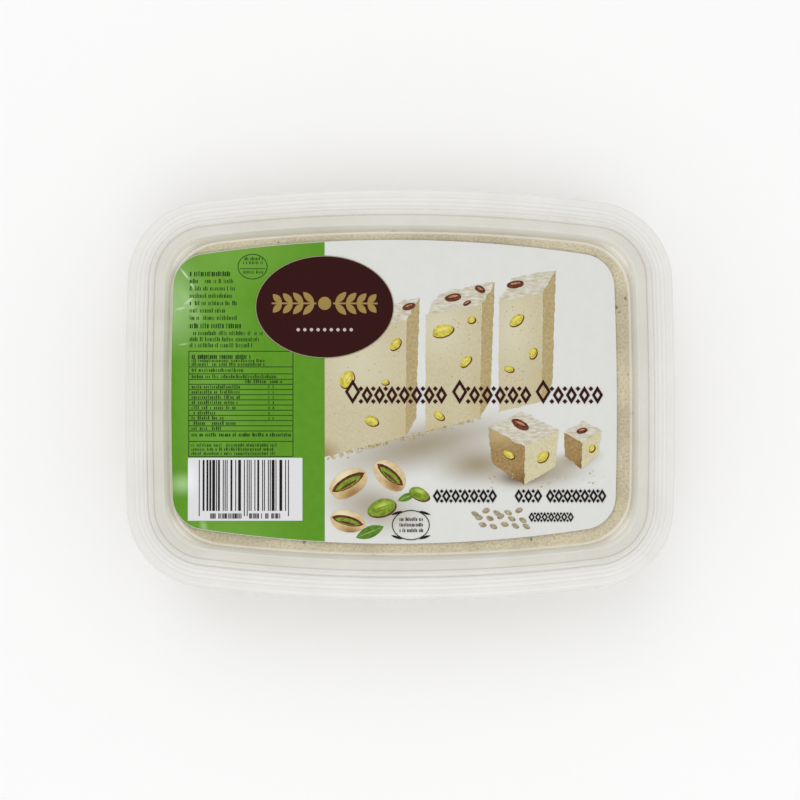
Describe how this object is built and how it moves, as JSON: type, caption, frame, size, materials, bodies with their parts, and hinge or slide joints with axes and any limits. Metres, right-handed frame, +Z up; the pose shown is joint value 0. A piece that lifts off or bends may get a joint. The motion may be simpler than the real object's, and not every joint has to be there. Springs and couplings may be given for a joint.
{
  "type": "shut rectangular tub of halva with a press-on lid",
  "caption": "Shut rectangular clear plastic tub with a down-turned apron, recessed press-on lid, printed label and a block of pressed sesame halva inside.",
  "frame": {"origin": "middle of the footprint, at the height of the surface the tub stands on", "axes": "+X along the long side, to the right as the label is read; +Y to the back of the label; +Z up"},
  "size_m": [0.158, 0.1182, 0.039],
  "materials": {
    "tub_plastic": "milky clear polypropylene, smooth",
    "lid_plastic": "milky clear polypropylene, smooth, faint scuffs",
    "label_print": "glossy coated label, green field at the left and pale field at the right",
    "halva_block": "dull, fine crumbly grain"
  },
  "bodies": {
    "root": {"tub": "tub_plastic", "lid": "lid_plastic", "label": "label_print", "halva": "halva_block"}
  },
  "joints": []
}
